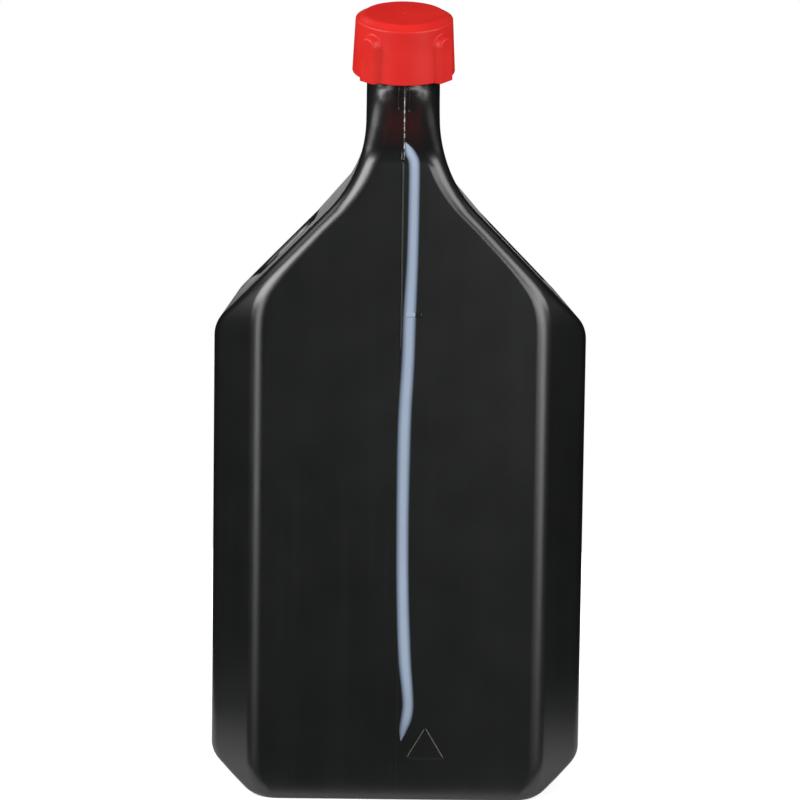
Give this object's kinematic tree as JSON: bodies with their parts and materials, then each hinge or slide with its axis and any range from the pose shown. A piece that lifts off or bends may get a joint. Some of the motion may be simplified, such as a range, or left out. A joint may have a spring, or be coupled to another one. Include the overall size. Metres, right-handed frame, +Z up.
{
  "type": "jerrycan",
  "caption": "Small upright blow-moulded jerrycan with bevelled corners, sloping shoulders, leaning front neck, sight strip, hand opening and red screw cap.",
  "frame": {"origin": "middle of the base, on the plane that the can stands on", "axes": "+Z up, -Y towards the neck side that the picture shows, +X to the right of that view"},
  "size_m": [0.138, 0.1903, 0.295],
  "materials": {
    "shell": "blow-moulded black HDPE, satin",
    "strip": "natural HDPE, cloudy",
    "cap": "injection-moulded red polypropylene",
    "seal": "foamed polyethylene"
  },
  "bodies": {
    "canister": {"body": "shell", "neck": "shell", "sight_strip": "strip"},
    "seal": {"cap_disc": "seal"},
    "cap": {"cap": "cap"}
  },
  "joints": [
    {"name": "cap_lift", "type": "slide", "parent": "canister", "child": "seal", "axis": [0, -0.3173, 0.9483], "range_m": [0, 0.024]},
    {"name": "cap_turn", "type": "hinge", "parent": "seal", "child": "cap", "pos_m": [0, -0.063, 0.2695], "axis": [0, -0.3173, 0.9483], "range_deg": [0, 2160]}
  ],
  "couplings": [
    {"joint": "cap_lift", "follows": "cap_turn", "m_per_rad": 0.00063662}
  ]
}
